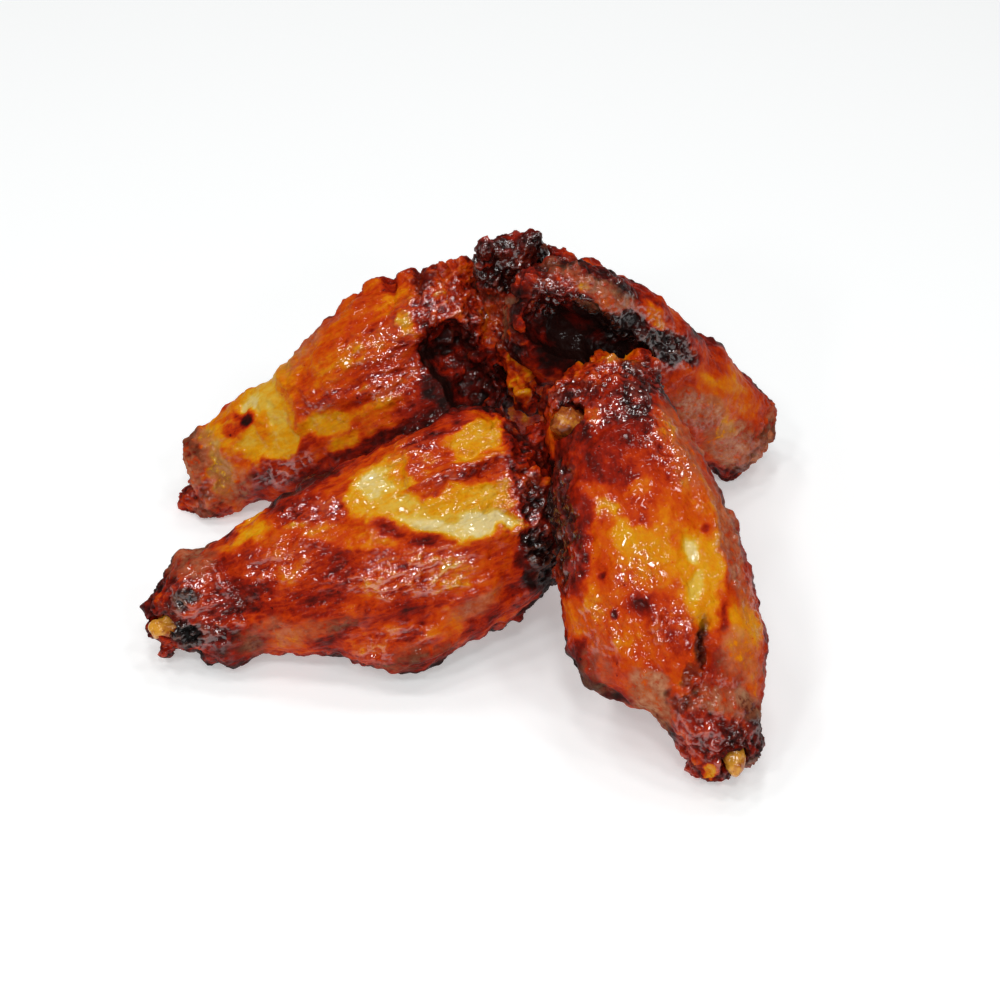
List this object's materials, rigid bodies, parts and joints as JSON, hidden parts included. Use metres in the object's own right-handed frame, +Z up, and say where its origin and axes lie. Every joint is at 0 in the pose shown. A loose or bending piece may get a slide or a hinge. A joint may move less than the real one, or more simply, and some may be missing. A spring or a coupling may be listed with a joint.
{
  "type": "chicken wings serving",
  "caption": "Roasted, glazed chicken wing flats leaning together in a loose heap, wrist ends out and elbow ends raised in the middle, with rounded bone ends showing.",
  "frame": {"origin": "on the tabletop, under the middle of the serving's box", "axes": "+Z up, +Y from the viewer's side to the back of the heap, +X to the viewer's right"},
  "size_m": [0.138, 0.1366, 0.066],
  "materials": {
    "skin_front_right": "glazed roasted skin",
    "skin_front_left": "glazed roasted skin",
    "skin_back_right": "glazed roasted skin",
    "skin_back_left": "glazed roasted skin",
    "skin_rear": "charred roasted skin",
    "bone_end": "cooked bone"
  },
  "bodies": {
    "root": {"wing_front_right": "skin_front_right", "wing_front_left": "skin_front_left", "wing_back_right": "skin_back_right", "wing_back_left": "skin_back_left", "wing_rear": "skin_rear", "bone_front_right": "bone_end", "bone_front_left": "bone_end"}
  },
  "joints": []
}
